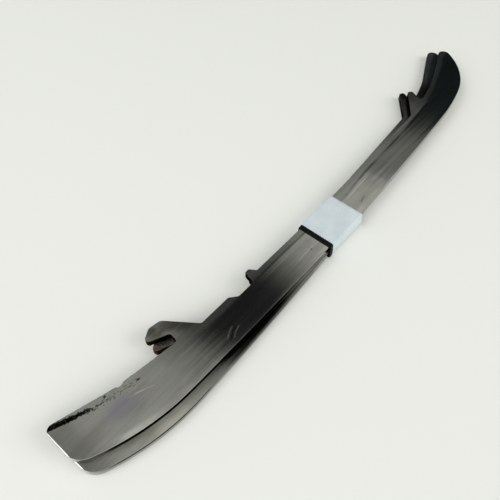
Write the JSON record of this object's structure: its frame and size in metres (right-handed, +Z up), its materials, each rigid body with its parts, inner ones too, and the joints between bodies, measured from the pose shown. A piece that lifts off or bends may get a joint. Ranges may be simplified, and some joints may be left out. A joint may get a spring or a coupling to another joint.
{
  "type": "pair of hockey skate runners",
  "caption": "Pair of worn steel hockey skate runners lying flat, fanned slightly and held together by a thin black rubber band and a bare white paper label.",
  "frame": {"origin": "on the table, under the middle of the rubber band, halfway up the steel", "axes": "+X along the runners from heel to toe, +Y from the ice edge to the top edge with the hooks, +Z up through the stack"},
  "size_m": [0.2795, 0.0445, 0.0071],
  "materials": {
    "upper_runner": "worn, ground lengthwise",
    "lower_runner": "worn, ground lengthwise",
    "rubber_band": "matt",
    "paper_label": "matt, bare"
  },
  "bodies": {
    "upper": {"upper_runner": "upper_runner", "rubber_band": "rubber_band", "paper_label": "paper_label"},
    "lower": {"lower_runner": "lower_runner"}
  },
  "joints": [
    {"name": "runner_swivel", "type": "hinge", "parent": "upper", "child": "lower", "pos_m": [0.00785, 0, 0.0021], "axis": [0, 0, 1], "range_deg": [-4.6, 0]}
  ]
}
